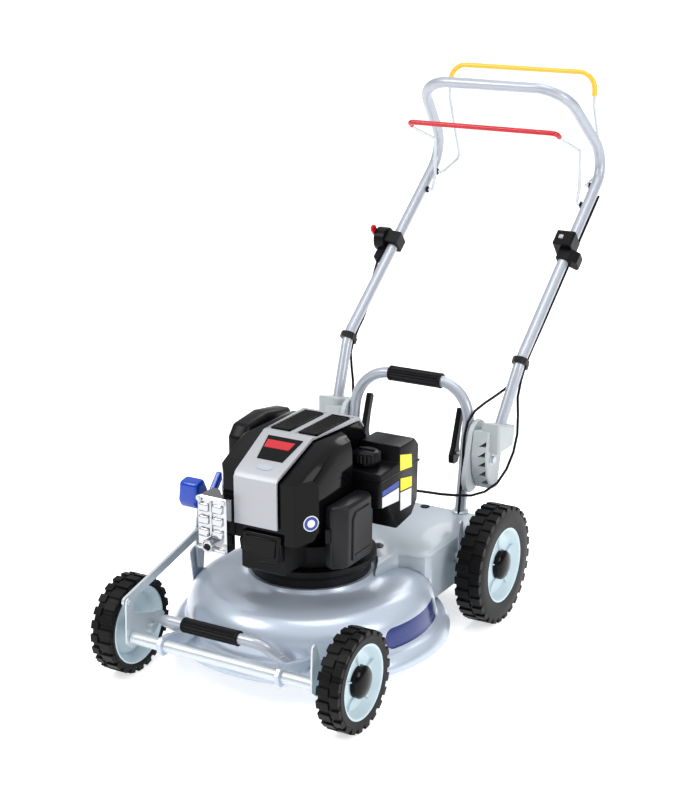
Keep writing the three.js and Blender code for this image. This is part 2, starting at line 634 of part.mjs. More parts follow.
const REAR_PLATE = { inner: 216, outer: 220 };
place("rear_cross_shaft", rod(AXLE_R, 0.4 - REAR_PLATE.inner, REAR_PLATE.inner - 0.4, REAR_PIVOT.y, REAR_PIVOT.z, 16),
  ZINC);
const rearPlateOutline = [
  [520, 136], [514, 150], [515, 222], [518, 231], [525, 235], [532, 231], [535, 200], [548, 164], [594, 144],
  [602, 128], [595, 113], [580, 110],
];
SIDES.forEach(([name, side]) => {
  const end = REAR_WHEEL.outer - 9;
  const stub = turnedAlongX(
    [[0, 217], [11, 217], [11, 224], [AXLE_R, 224], [AXLE_R, end], [0, end]], REAR_WHEEL.y, REAR_WHEEL.z, 16);
  const linkPin = plus(REAR_PIVOT, ARM);
  const pieces = [crosswise(rearPlateOutline, REAR_PLATE.inner, REAR_PLATE.outer), stub];
  if (side < 0) pieces.push(rod(PIN_R, 206.5, REAR_PLATE.inner + 2, linkPin.y, linkPin.z));
  place("rear_crank_" + name, mirrored(join(...pieces), side), ZINC);
});
place("gearbox", upright([[-38, 545], [38, 545], [46, 562], [40, 620], [-40, 620], [-46, 562]], 96, 158, 6, 1),
  DARK_GREY);

const leverPin = plus(LEVER_PIVOT, ARM);
const eye = (point) => rod(PIN_HOLE_R, -260, -180, point.y, point.z, 16);
const frontPin = plus(FRONT_PIVOT, ARM);
const rearPin = plus(REAR_PIVOT, ARM);
place("front_height_rod", cut(link(frontPin, leverPin, 9, -222, -216), eye(frontPin), eye(leverPin)), TUBE_PAINT);
place("rear_height_rod", cut(link(leverPin, rearPin, 9, -214, -209), eye(leverPin), eye(rearPin)), TUBE_PAINT);
const leverTop = { y: 212, z: 304 };
place(
  "height_lever",
  join(
    link(LEVER_PIVOT, leverPin, 10, -228, -223.5),
    link(leverPin, leverTop, 8, -228, -223.5),
    rod(PIN_R, -226, -206.5, leverPin.y, leverPin.z),
    rod(PIN_R, -239, -226, LEVER_PIVOT.y, LEVER_PIVOT.z),
  ),
  ZINC,
);
place(
  "height_lever_knob",
  cut(
    crosswise([[190, 308], [214, 300], [230, 306], [238, 334], [222, 346], [197, 342]], -256, -212, 6, 2),
    link(leverPin, leverTop, 8.5, -228.5, -223),
  ),
  BLUE,
);
function wheel(name, w, side) {
  // a dished rim with its hub cap, which closes the bore's outer end
  const face = w.outer - 7;
  const rim = turnedAlongX(
    [
      [AXLE_R + 0.7, w.inner + 4], [HUB_R, w.inner + 4], [HUB_R, w.outer - 24], [w.rim - 14, w.outer - 24],
      [w.rim - 12, w.inner + 4], [w.rim, w.inner + 2], [w.rim, w.outer - 3], [w.rim - 8, w.outer - 4],
      [w.rim - 12, w.outer - 17], [CAP_R, w.outer - 17], [CAP_R - 4, face + 6], [18, face + 12], [0, face + 13],
      [0, face], [AXLE_R + 0.7, face], [AXLE_R + 0.7, w.inner + 4],
    ],
    w.y, w.z, 22);
  const tyre = turnedAlongX(
    [
      [w.rim + GAP, w.inner + 2], [w.rim + 8, w.inner], [w.radius - 5, w.inner + 1.5], [w.radius, w.inner + 8],
      [w.radius, w.outer - 8], [w.radius - 5, w.outer - 1.5], [w.rim + 8, w.outer], [w.rim + GAP, w.outer - 2],
      [w.rim + GAP, w.inner + 2],
    ],
    w.y, w.z, 22);
  place("tyre_" + name, mirrored(tyre, side), TYRE);
  place("rim_" + name, mirrored(rim, side), RIM);
}
SIDES.forEach(([name, side]) => {
  wheel("front_" + name, FRONT_WHEEL, side);
  wheel("rear_" + name, REAR_WHEEL, side);
});

// ---------------------------------------------------------------- cables
const CABLE_R = 2.4;
const CABLES = {
  brake_cable: [
    [213.4, 1158, 775], [213.4, 990, 639], [213.4, 880, 551], [213.4, 833.5, 516], [213.4, 821, 500.5],
    [212, 808, 485], [205, 795, 468], [192, 775, 452],
    [172, 742, 434], [158, 712, 420], [150, 690, 398], [146, 680, 365], [146, 675, 300], [146, 665, 240],
    [146, 659, 193],
  ],
  drive_cable: [
    [222.6, 1209, 816], [222.6, 1040, 680], [222.6, 880, 551], [222.6, 833.5, 516],
    [222.6, 821, 500.5], [222.6, 808, 485], [223, 785, 442], [228, 778, 390],
    [229, 771, 343], [223, 745, 292], [214, 705, 260], [196, 650, 250], [172, 591, 262], [142, 545, 276],
    [105, 505, 290], [66, 446, 300], [44, 394, 310],
  ],
  throttle_cable: [
    [-240, 981, 654], [-232, 938, 608], [-217, 885, 555], [-213.4, 833.5, 516], [-213.4, 821, 500.5],
    [-212.6, 808, 485], [-206, 796, 466], [-192, 782, 410],
    [-185, 772, 345], [-165, 762, 290], [-130, 735, 250], [-105, 690, 228], [-90, 600, 222], [-80, 500, 245],
    [-70, 430, 285], [-66, 394, 320],
  ],
};
Object.entries(CABLES).forEach(([name, points]) => place(name, smoothTube(points, CABLE_R, 28), BLACK));

export default mower;
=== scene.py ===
# Looks of the walk-behind rotary mower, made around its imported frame. Sizes and places are in millimetres:
# y is measured back from the front wheels' axle line, and the mower's left is +X. at() puts them in the
# frame.
import json
import math

import bpy
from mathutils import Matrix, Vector


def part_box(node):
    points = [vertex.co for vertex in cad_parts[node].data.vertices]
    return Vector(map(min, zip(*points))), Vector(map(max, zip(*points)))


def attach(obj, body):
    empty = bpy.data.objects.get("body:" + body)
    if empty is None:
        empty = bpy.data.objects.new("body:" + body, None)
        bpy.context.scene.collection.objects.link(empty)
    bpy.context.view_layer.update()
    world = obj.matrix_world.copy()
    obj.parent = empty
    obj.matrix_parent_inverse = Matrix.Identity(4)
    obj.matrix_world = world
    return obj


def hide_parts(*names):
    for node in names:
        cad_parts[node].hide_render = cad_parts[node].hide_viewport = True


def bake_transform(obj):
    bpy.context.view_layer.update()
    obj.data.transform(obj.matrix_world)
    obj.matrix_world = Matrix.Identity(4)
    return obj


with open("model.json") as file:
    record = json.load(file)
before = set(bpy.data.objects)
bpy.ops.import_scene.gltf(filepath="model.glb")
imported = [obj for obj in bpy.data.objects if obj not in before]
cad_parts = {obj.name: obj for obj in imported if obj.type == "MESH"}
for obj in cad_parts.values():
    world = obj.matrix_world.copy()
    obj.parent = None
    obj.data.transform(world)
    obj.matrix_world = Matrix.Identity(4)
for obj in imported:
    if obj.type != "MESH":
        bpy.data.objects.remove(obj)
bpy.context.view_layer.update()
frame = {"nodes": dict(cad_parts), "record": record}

front_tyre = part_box("tyre_front_left")
AXLE_Y = (front_tyre[0].y + front_tyre[1].y) / 2
AXES = {"X": Vector((1, 0, 0)), "Y": Vector((0, 1, 0)), "Z": Vector((0, 0, 1))}
SIDES = (("left", 1), ("right", -1))
MERGE_DISTANCE = 1e-5
FRAME_MERGE_DISTANCE = 2e-5
# Angles between two faces, in degrees: a copied node's faces are merged up to FLAT_ANGLE, an edge is rounded
# from BEVEL_ANGLE on, and the shading runs on smoothly up to the others.
FLAT_ANGLE = 2
BEVEL_ANGLE = 30
SMOOTH = 32
BEVEL_SMOOTH = 40
TUBE_SMOOTH = 50


def at(x, y, z):
    return Vector((x / 1000, y / 1000 + AXLE_Y, z / 1000))


# ---------------------------------------------------------------- modelling by hand
def deselect():
    if bpy.context.mode != "OBJECT":
        bpy.ops.object.mode_set(mode="OBJECT")
    bpy.ops.object.select_all(action="DESELECT")


def settle(name, smooth=SMOOTH):
    """Leaves edit mode with the piece at the origin, its faces out and its shading set."""
    if bpy.context.mode == "EDIT_MESH":
        bpy.ops.mesh.select_all(action="SELECT")
        bpy.ops.mesh.remove_doubles(threshold=MERGE_DISTANCE)
        bpy.ops.mesh.normals_make_consistent(inside=False)
        bpy.ops.object.mode_set(mode="OBJECT")
    bpy.ops.object.transform_apply(location=True, rotation=True, scale=True)
    piece = bpy.context.object
    piece.name = piece.data.name = name
    bpy.ops.object.shade_smooth_by_angle(angle=math.radians(smooth))
    return piece


def draw(points):
    """Starts a mesh as one point and draws a chain of edges from it."""
    deselect()
    bpy.ops.mesh.primitive_plane_add(size=0.01, location=(0, 0, 0))
    bpy.ops.object.mode_set(mode="EDIT")
    bpy.ops.mesh.merge(type="CENTER")
    bpy.ops.transform.translate(value=points[0])
    for here, there in zip(points, points[1:]):
        bpy.ops.mesh.extrude_region_move(TRANSFORM_OT_translate={"value": there - here})
    bpy.ops.mesh.select_all(action="SELECT")


def finish(piece, kind, **settings):
    """Adds one modifier and applies it."""
    deselect()
    piece.select_set(True)
    bpy.context.view_layer.objects.active = piece
    modifier = piece.modifiers.new(kind.lower(), kind)
    for key, value in settings.items():
        setattr(modifier, key, value)
    bpy.ops.object.modifier_apply(modifier=modifier.name)
    return piece


def rounded(piece, width, segments):
    finish(piece, "BEVEL", width=width / 1000, segments=segments, limit_method="ANGLE",
           angle_limit=math.radians(BEVEL_ANGLE), use_clamp_overlap=True)
    bpy.ops.object.shade_smooth_by_angle(angle=math.radians(BEVEL_SMOOTH))
    return piece


def turned(name, profile, axis, centre, steps=64):
    """A profile of (radius, distance along the axis), spun about an axis through the centre."""
    along = AXES[axis]
    out = AXES["X"] if axis == "Z" else AXES["Z"]
    base = at(*centre)
    draw([base + out * (r / 1000) + along * (h / 1000) for r, h in profile])
    bpy.ops.mesh.spin(steps=steps, angle=math.tau, center=base, axis=along)
    return settle(name)


def prism(name, outline, axis, low, high, rounding=0.0, segments=3):
    """An outline in the two other axes' order, drawn at low and extruded to high."""
    place = {
        "X": lambda a, b: at(low, a, b),
        "Y": lambda a, b: at(a, low, b),
        "Z": lambda a, b: at(a, b, low),
    }[axis]
    draw([place(a, b) for a, b in outline])
    bpy.ops.mesh.edge_face_add()
    bpy.ops.mesh.extrude_region_move(TRANSFORM_OT_translate={"value": AXES[axis] * ((high - low) / 1000)})
    piece = settle(name, BEVEL_SMOOTH)
    return rounded(piece, rounding, segments) if rounding else piece


def bent_tube(name, points, bends, radius, sides, arc):
    """A tube made as a bar bender makes it: a straight pull to each corner, and a spin round its bend."""
    corners = [at(*p) for p in points]
    first = (corners[1] - corners[0]).normalized()
    deselect()
    bpy.ops.mesh.primitive_circle_add(vertices=sides, radius=radius / 1000, fill_type="NOTHING",
                                      location=corners[0], rotation=first.to_track_quat("Z", "Y").to_euler())
    bpy.ops.object.mode_set(mode="EDIT")
    here = corners[0]
    for before, corner, after, bend in zip(corners, corners[1:], corners[2:], bends):
        into = (corner - before).normalized()
        out = (after - corner).normalized()
        turn = into.angle(out)
        axis = into.cross(out).normalized()
        reach = bend / 1000 * math.tan(turn / 2)
        start = corner - into * reach
        bpy.ops.mesh.extrude_region_move(TRANSFORM_OT_translate={"value": start - here})
        bpy.ops.mesh.spin(steps=arc, angle=turn, center=start + axis.cross(into) * (bend / 1000), axis=-axis)
        here = corner + out * reach
    bpy.ops.mesh.extrude_region_move(TRANSFORM_OT_translate={"value": corners[-1] - here})
    bpy.ops.mesh.select_all(action="SELECT")
    bpy.ops.mesh.fill_holes(sides=0)
    return settle(name, TUBE_SMOOTH)


def frame_copy(node):
    """A copy of a frame node, open for editing with all of it selected."""
    deselect()
    piece = bpy.data.objects.new(node, frame["nodes"][node].data.copy())
    bpy.context.scene.collection.objects.link(piece)
    piece.select_set(True)
    bpy.context.view_layer.objects.active = piece
    piece.data.materials.clear()
    bpy.ops.mesh.customdata_custom_splitnormals_clear()
    bpy.ops.object.mode_set(mode="EDIT")
    bpy.ops.mesh.select_all(action="SELECT")


def refined(name, node, rounding, segments):
    """A copy of a frame node with its triangles merged to whole faces and its edges rounded."""
    frame_copy(node)
    bpy.ops.mesh.remove_doubles(threshold=FRAME_MERGE_DISTANCE)
    bpy.ops.mesh.dissolve_limited(angle_limit=math.radians(FLAT_ANGLE))
    return rounded(settle(name, BEVEL_SMOOTH), rounding, segments)


def joined(name, *pieces):
    deselect()
    for piece in pieces:
        piece.select_set(True)
    bpy.context.view_layer.objects.active = pieces[0]
    bpy.ops.object.join()
    pieces[0].name = pieces[0].data.name = name
    return pieces[0]


def cut_by(piece, *tools):
    for tool in tools:
        finish(piece, "BOOLEAN", operation="DIFFERENCE", object=tool, solver="EXACT")
        bpy.data.objects.remove(tool)
    bpy.ops.object.shade_smooth_by_angle(angle=math.radians(SMOOTH))
    return piece


def repeated(piece, centre, axis, count, start=0.0):
    """Copies all of a piece's faces round an axis, from a start angle on."""
    deselect()
    piece.select_set(True)
    bpy.context.view_layer.objects.active = piece
    bpy.ops.object.mode_set(mode="EDIT")
    bpy.ops.mesh.select_all(action="SELECT")
    bpy.ops.transform.rotate(value=start, orient_axis=axis, center_override=at(*centre))
    bpy.ops.mesh.spin(steps=count, angle=math.tau, dupli=True, center=at(*centre), axis=AXES[axis])
    return settle(piece.name)


def circle(radius, a, b, sides):
    """A regular outline whose first corner is half a side's turn on from the first direction."""
    turns = [math.tau * (i + 0.5) / sides for i in range(sides)]
    return [(a + radius * math.cos(turn), b + radius * math.sin(turn)) for turn in turns]


def box_outline(a0, b0, a1, b1):
    return [(a0, b0), (a1, b0), (a1, b1), (a0, b1)]


WASHER_SHARE = 1.45  # a washer's radius, as a share of its bolt head's
WASHER_THICK = 1.4


def bolt(name, axis, place, radius, height):
    """A hexagon head on a washer, its head rising along the axis from the place."""
    order = {"X": (1, 2, 0), "Y": (0, 2, 1), "Z": (0, 1, 2)}[axis]
    a, b, foot = (place[i] for i in order)
    sign = 1 if height > 0 else -1
    head = prism(name, circle(radius, a, b, 6), axis, foot + sign, foot + height, 0.6, 2)
    washer = circle(radius * WASHER_SHARE, a, b, 24)
    disc = prism(name, washer, axis, foot, foot + WASHER_THICK * sign, 0.4, 1)
    return joined(name, head, disc)


# ---------------------------------------------------------------- finishes
class Term:
    """A socket whose arithmetic adds Math nodes."""

    def __init__(self, finish, socket):
        self.finish = finish
        self.socket = socket

    def math(self, operation, *values):
        return self.finish.node("Math", {"operation": operation}, dict(enumerate(values)))

    def __add__(self, other):
        return self.math("ADD", self, other)

    def __radd__(self, other):
        return self.math("ADD", other, self)

    def __sub__(self, other):
        return self.math("SUBTRACT", self, other)

    def __rsub__(self, other):
        return self.math("SUBTRACT", other, self)

    def __mul__(self, other):
        return self.math("MULTIPLY", self, other)

    def __rmul__(self, other):
        return self.math("MULTIPLY", other, self)

    def __abs__(self):
        return self.math("ABSOLUTE", self)

    def below(self, other):
        return self.math("LESS_THAN", self, other)

    def at_least(self, other):
        return self.math("MAXIMUM", self, other)


class Finish:
    """A procedural material, named after its slot."""

    def __init__(self, slot, color, roughness, metallic=0.0, coat=0.0):
        self.slot = slot
        self.color = (*color, 1)
        self.material = bpy.data.materials.new(slot)
        self.material.use_nodes = True
        self.tree = self.material.node_tree
        self.shader = self.tree.nodes["Principled BSDF"]
        self.shader.inputs["Base Color"].default_value = self.color
        self.shader.inputs["Roughness"].default_value = roughness
        self.shader.inputs["Metallic"].default_value = metallic
        self.shader.inputs["Coat Weight"].default_value = coat
        self.shader.inputs["Coat Roughness"].default_value = 0.06
        self.place = self.node("TexCoord", {}, {}, "Object")

    def node(self, kind, settings, sockets, output=0):
        made = self.tree.nodes.new("ShaderNode" + kind)
        for key, value in settings.items():
            setattr(made, key, value)
        for key, value in sockets.items():
            if isinstance(value, Term):
                self.tree.links.new(value.socket, made.inputs[key])
            else:
                made.inputs[key].default_value = value
        return Term(self, made.outputs[output])

    def feed(self, socket, value):
        self.tree.links.new(value.socket, self.shader.inputs[socket])

    def noise(self, scale, detail):
        return self.node("TexNoise", {}, {"Vector": self.place, "Scale": scale, "Detail": detail}, "Fac")

    def mix(self, share, first, second):
        return self.node("Mix", {"data_type": "RGBA"}, {0: share, 6: first, 7: second}, 2)

    def bump(self, height, depth, strength):
        sockets = {"Strength": strength, "Distance": depth, "Height": height}
        self.feed("Normal", self.node("Bump", {}, sockets))

    def varied(self, amount, scale):
        """Lets the colour drift a little over the surface."""
        darker = tuple(c * (1 - amount) for c in self.color[:3]) + (1,)
        lighter = tuple(min(1, c * (1 + amount)) for c in self.color[:3]) + (1,)
        self.base = self.mix(self.noise(scale, 4.0), darker, lighter)
        self.feed("Base Color", self.base)
        return self


# How fine the finishes' textures are, and how deep their bumps.
FLAKE_SCALE = 2600.0
PEEL_SCALE = 260.0
PEEL_DEPTH = 0.00035
GRAIN_SCALE = 1500.0
STREAK_SCALE = 60.0
STREAK_DEPTH = 0.00008


def paint(slot, color, roughness, metallic, coat):
    """Sprayed paint: metal flake in the colour and roughness, and a faint orange peel."""
    made = Finish(slot, color, roughness, metallic, coat).varied(0.05, 6.0)
    flakes = made.noise(FLAKE_SCALE, 1.0)
    made.feed("Roughness", roughness - 0.05 + flakes * 0.1)
    made.bump(made.noise(PEEL_SCALE, 2.0), PEEL_DEPTH, 0.25)
    return made


def moulded(slot, color, roughness, grain, coat=0.0, shine=0.5):
    """Moulded plastic or rubber: a fine spark-eroded grain."""
    made = Finish(slot, color, roughness, 0.0, coat).varied(0.08, 12.0)
    made.shader.inputs["Specular IOR Level"].default_value = shine
    texture = made.noise(GRAIN_SCALE, 3.0)
    made.feed("Roughness", roughness - 0.08 + texture * 0.16)
    made.bump(texture, grain / 1000, 0.6)
    return made


def metal(slot, color, roughness, streak, metallic=1.0):
    """Plated or bare metal, with fine drawn streaks along one way."""
    made = Finish(slot, color, roughness, metallic).varied(0.08, 30.0)
    stretched = made.node("Mapping", {}, {"Vector": made.place, "Scale": (streak, STREAK_SCALE, streak)})
    lines = made.node("TexNoise", {}, {"Vector": stretched, "Scale": 1.0, "Detail": 3.0}, "Fac")
    made.feed("Roughness", roughness - 0.08 + lines * 0.18)
    made.bump(lines, STREAK_DEPTH, 0.4)
    return made


CRANK_Y = 275
DECK_WALL_R = 257
# The pill's straight half length along the deck's wall, its height on it and its end radius, in metres.
PILL = {"half": 0.088, "z": 0.104, "radius": 0.0205}
PILL_BLUE = (0.007, 0.022, 0.15, 1)


def deck_finish():
    """Deck paint with a plain blue pill on its left flank."""
    made = paint("deck_paint", (0.47, 0.535, 0.62), 0.28, 0.35, 0.3)
    parts = made.node("SeparateXYZ", {}, {0: made.place}, "X")
    x, y, z = (Term(made, parts.socket.node.outputs[i]) for i in range(3))
    back = y - at(0, CRANK_Y, 0).y
    angle = back.math("ARCTAN2", back, x)
    along = abs(angle * (DECK_WALL_R / 1000)) - PILL["half"]
    beside = z - PILL["z"]
    reach = along.at_least(0.0)
    square = reach * reach + beside * beside
    inside = square.math("SQRT", square).below(PILL["radius"])
    left = (0 - x).below(0.0)
    made.feed("Base Color", made.mix(inside * left, made.base, PILL_BLUE))
    return made


DULL = 0.12  # the specular level of the dark mouldings
DECK = deck_finish()
HOUSING = paint("housing_paint", (0.40, 0.455, 0.505), 0.34, 0.15, 0.35)
TUBE = paint("tube_paint", (0.40, 0.43, 0.48), 0.34, 0.35, 0.3)
ZINC = metal("zinc_steel", (0.56, 0.61, 0.64), 0.38, 900.0, 0.6)
BLADE = metal("blade_steel", (0.33, 0.34, 0.36), 0.42, 300.0)
CHROME = paint("chrome_steel", (0.50, 0.51, 0.53), 0.16, 1.0, 0.0)
CASTING = moulded("engine_casting", (0.008, 0.008, 0.009), 0.42, 0.2, 0.0, DULL)
COVER = paint("cover_plastic", (0.40, 0.41, 0.435), 0.42, 0.3, 0.1)
HINGE = moulded("hinge_plastic", (0.45, 0.49, 0.505), 0.5, 0.12)
RIM = moulded("rim_plastic", (0.53, 0.65, 0.70), 0.42, 0.08)
BLACK = moulded("black_plastic", (0.004, 0.004, 0.005), 0.3, 0.05, 0.0, DULL)
DARK = moulded("dark_plastic", (0.008, 0.008, 0.0095), 0.34, 0.07, 0.0, 0.22)
GLOSS = moulded("gloss_black_plastic", (0.002, 0.002, 0.0025), 0.11, 0.01, 0.0, 0.13)
RED = moulded("red_plastic", (0.50, 0.002, 0.012), 0.25, 0.02, 0.1)
YELLOW = moulded("yellow_plastic", (0.86, 0.47, 0.02), 0.28, 0.02, 0.3)
BLUE = moulded("blue_plastic", (0.001, 0.05, 0.44), 0.16, 0.02, 0.1)
LABEL_YELLOW = moulded("yellow_plastic", (0.88, 0.72, 0.01), 0.4, 0.0)
LABEL_WHITE = moulded("housing_paint", (0.74, 0.76, 0.78), 0.4, 0.0)
LABEL_BLUE = moulded("blue_plastic", (0.01, 0.04, 0.30), 0.35, 0.0)
TYRE = moulded("tyre_rubber", (0.005, 0.005, 0.0055), 0.42, 0.1, 0.0, DULL)
RUBBER = moulded("rubber", (0.006, 0.006, 0.007), 0.42, 0.1, 0.0, DULL)


def dress(piece, body, finish_of, *nodes):
    """Gives a piece its finish and body, and lets it stand for frame nodes."""
    piece.data.materials.clear()
    piece.data.materials.append(finish_of.material)
    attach(piece, body)
    if nodes:
        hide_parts(*nodes)
    return piece


def repaint_nodes():
    """Every frame node gets the finish of its slot."""
    finishes = (DECK, HOUSING, TUBE, ZINC, BLADE, CHROME, CASTING, COVER, HINGE, RIM, BLACK, DARK, GLOSS,
                RED, YELLOW, BLUE, TYRE, RUBBER)
    by_slot = {finish_of.slot: finish_of for finish_of in finishes}
    for row in frame["record"]["subparts"]:
        node = frame["nodes"][row["node"]]
        node.data.materials.clear()
        node.data.materials.append(by_slot[row["material_slot"]].material)


# ---------------------------------------------------------------- studio
FLOOR_GLOW = 0.62
SKY = ((0.13, 1.0), (0.19, 0.22), (0.35, 0.3), (0.75, 1.0))
CAMERA = {"place": (1728.0, -2557.9, 1554.3), "azimuth": 30.0, "elevation": 17.1, "lens": 78.23}


def studio():
    data = bpy.data.cameras.new("camera")
    data.lens = CAMERA["lens"]
    data.clip_end = 50
    camera = bpy.data.objects.new("camera", data)
    bpy.context.scene.collection.objects.link(camera)
    bpy.context.scene.camera = camera
    azimuth, elevation = math.radians(CAMERA["azimuth"]), math.radians(CAMERA["elevation"])
    back = Vector((math.sin(azimuth) * math.cos(elevation), -math.cos(azimuth) * math.cos(elevation),
                   math.sin(elevation)))
    camera.rotation_mode = "QUATERNION"
    camera.rotation_quaternion = (-back).to_track_quat("-Z", "Y")
    camera.location = at(*CAMERA["place"])

    deselect()
    bpy.ops.mesh.primitive_plane_add(size=120, location=(0, 0, 0))
    floor = bpy.context.object
    floor.name = "floor"
    pale = Finish("floor", (0.86, 0.86, 0.86), 0.7)
    pale.shader.inputs["Emission Color"].default_value = (1, 1, 1, 1)
    pale.shader.inputs["Emission Strength"].default_value = FLOOR_GLOW
    floor.data.materials.append(pale.material)

    lights = (
        ("key", (-2.2, -2.6, 3.6), (0, 0, 0.3), 2.0, 70),
        ("side", (3.4, -0.6, 2.2), (0, 0, 0.4), 1.6, 42),
        ("back", (-0.6, 3.6, 3.0), (0, 0, 0.5), 2.2, 40),
        ("top", (0.2, -0.2, 4.4), (0, 0, 0), 2.4, 45),
    )
    for name, place, target, size, power in lights:
        lamp = bpy.data.lights.new(name, "AREA")
        lamp.shape = "DISK"
        lamp.size = size
        lamp.energy = power
        holder = bpy.data.objects.new(name, lamp)
        bpy.context.scene.collection.objects.link(holder)
        holder.location = place
        holder.rotation_euler = (Vector(target) - Vector(place)).to_track_quat("-Z", "Y").to_euler()
    world = bpy.data.worlds.new("studio")
    bpy.context.scene.world = world
    world.use_nodes = True
    tree = world.node_tree
    place = tree.nodes.new("ShaderNodeTexCoord")
    parts = tree.nodes.new("ShaderNodeSeparateXYZ")
    ramp = tree.nodes.new("ShaderNodeValToRGB")
    tree.links.new(place.outputs["Generated"], parts.inputs[0])
    tree.links.new(parts.outputs["Z"], ramp.inputs["Fac"])
    tree.links.new(ramp.outputs["Color"], tree.nodes["Background"].inputs["Color"])
    stops = ramp.color_ramp.elements
    while len(stops) < len(SKY):
        stops.new(0.5)
    for stop, (height, shade) in zip(stops, SKY):
        stop.position = height
        stop.color = (shade, shade, shade * 1.02, 1)
    tree.nodes["Background"].inputs["Strength"].default_value = 1.0
    bpy.context.scene.view_settings.view_transform = "Standard"


studio()
repaint_nodes()

# ---------------------------------------------------------------- deck and housing
DECK_TOP = 178
DOME = [(130, DECK_TOP), (138, 167), (158, 161), (195, 163), (225, 156), (247, 135), (256, 108),
        (DECK_WALL_R, 80), (276, 76), (288, 60), (288, 48)]
DECK_SMOOTH = 35
SHEET = 3
DECK_RIM_R = 288
RIM_ROLL_R = 3.2
RIM_ROLL_Z = 49.5
CROWN_HOLE_R = 40
LEVER_PIVOT = (202, 163)
QUADRANT_R = 42
HOUSING_TOP = 191
TUBE_R = 12.5


def eased(points, times):
    """Cuts an open profile's corners again and again, so that it runs smoothly."""
    for _ in range(times):
        cut = [points[0]]
        for (a, b), (c, d) in zip(points, points[1:]):
            cut += [(0.75 * a + 0.25 * c, 0.75 * b + 0.25 * d), (0.25 * a + 0.75 * c, 0.25 * b + 0.75 * d)]
        points = cut + [points[-1]]
    return points


def saddle(side):
    outline = [(-74, 92), (-66, 82), (20, 82), (76, 84), (76, 96), (30, 100), (-42, 120), (-66, 120),
               (-76, 108)]
    return prism("saddle", outline, "X", 130 * side, 140 * side, 1.2, 2)


def deck():
    shell = turned("deck_shell", [(CROWN_HOLE_R, DECK_TOP)] + eased(DOME, 3), "Z", (0, CRANK_Y, 0), 128)
    finish(shell, "SOLIDIFY", thickness=SHEET / 1000, offset=-1)
    bpy.ops.object.shade_smooth_by_angle(angle=math.radians(DECK_SMOOTH))
    roll = circle(RIM_ROLL_R, DECK_RIM_R - RIM_ROLL_R, RIM_ROLL_Z, 12)
    edge = turned("edge", roll + roll[:1], "Z", (0, CRANK_Y, 0), 128)
    y, z = LEVER_PIVOT
    arc = [(y + QUADRANT_R * math.cos(math.radians(a)), z + QUADRANT_R * math.sin(math.radians(a)))
           for a in range(50, 132, 5)]
    quadrant = prism("quadrant", [(186, 120), (218, 120)] + arc, "X", -235, -231, 0.8, 2)
    whole = joined("deck_shell_pressed", shell, edge, saddle(1), saddle(-1), quadrant)
    dress(whole, "deck", DECK, "deck_shell")


def housing():
    shell = refined("rear_housing_shell", "rear_housing", 5, 4)
    dress(shell, "deck", HOUSING, "rear_housing")
    plug = turned("housing_plug", [(0, 2.2), (9, 2.2), (10.5, 0.8), (10.5, 0), (0, 0)], "Z",
                  (60, 665, HOUSING_TOP), 32)
    dress(plug, "deck", BLACK)
    cap = turned("housing_screw_cap", [(0, 4), (6, 4), (8, 2.5), (13, 2), (13, 0), (0, 0)], "Z",
                 (82, 408, HOUSING_TOP), 32)
    dress(cap, "deck", DARK)
    dress(refined("rear_trailing_flap", "rear_flap", 1.2, 2), "deck", RUBBER, "rear_flap")


# ---------------------------------------------------------------- tubes and handles
CARRY_TUBE = [(108, 32, 74), (66, -18, 135), (-170, -18, 135), (-178, 70, 72)]
CARRY_TUBE_R = 11
CARRY_TUBE_BEND = 30
CARRY_FRAME = [(142, 675, 191.4), (142, 719, 470), (-142, 719, 470), (-142, 675, 191.4)]
CARRY_FRAME_BEND = 82
HANDLE = [(199.7, 707, 329), (218, 803, 515), (215, 1268, 890), (181, 1082, 1073)]
HANDLE_BENDS = [119, 66, 82]


def ribbed(radius, a, b, ribs, depth):
    """A grip's section: half-round ribs side by side all round."""
    outline = []
    for i in range(ribs * 4):
        turn = 2 * math.pi * i / (ribs * 4)
        r = radius - depth * (0.0, 0.3, 1.0, 0.3)[i % 4]
        outline.append((a + r * math.cos(turn), b + r * math.sin(turn)))
    return outline


GRIP_END = 5


def grip(name, y, z, radius, low, high, body, node):
    sleeve = prism(name, ribbed(radius, y, z, 15, 2.3), "X", low + 4, high - 4)
    ends = [prism("end", circle(radius + 0.4, y, z, 32), "X", end, end + GRIP_END, 1.2)
            for end in (low, high - GRIP_END)]
    dress(joined(name, sleeve, *ends), body, RUBBER, node)


def tubes():
    tube = bent_tube("front_carrying_tube", CARRY_TUBE, [CARRY_TUBE_BEND] * 2, CARRY_TUBE_R, 28, 12)
    dress(tube, "deck", TUBE, "front_carry_tube")
    grip("front_carrying_grip", -18, 135, 15, -113, 17, "deck", "front_carry_grip")
    frame_tube = bent_tube("carrying_frame_tube", CARRY_FRAME, [CARRY_FRAME_BEND] * 2, TUBE_R, 28, 16)
    dress(frame_tube, "deck", TUBE, "carry_frame")
    grip("carrying_frame_grip", 719, 470, 17, -60, 70, "deck", "carry_grip")
    for name, side in SIDES:
        bore = TUBE_R - 0.5
        section = [(bore, 5), (17, 5), (19, 3), (19, 0), (bore, 0)]
        collar = turned("carrying_frame_collar_" + name, section, "Z",
                        (side * 142, 675.4, HOUSING_TOP + 0.3), 32)
        dress(collar, "deck", ZINC)
        bolt_x = {"left": 92, "right": -150}[name]
        dress(bolt("carrying_tube_bolt_" + name, "Z", (bolt_x, 8, 106), 6, 6), "deck", ZINC)
    run = HANDLE + [(-x, y, z) for x, y, z in reversed(HANDLE)]
    bar = bent_tube("handlebar_tube", run, HANDLE_BENDS + HANDLE_BENDS[::-1], TUBE_R, 32, 14)
    dress(bar, "handle", TUBE, "handlebar")


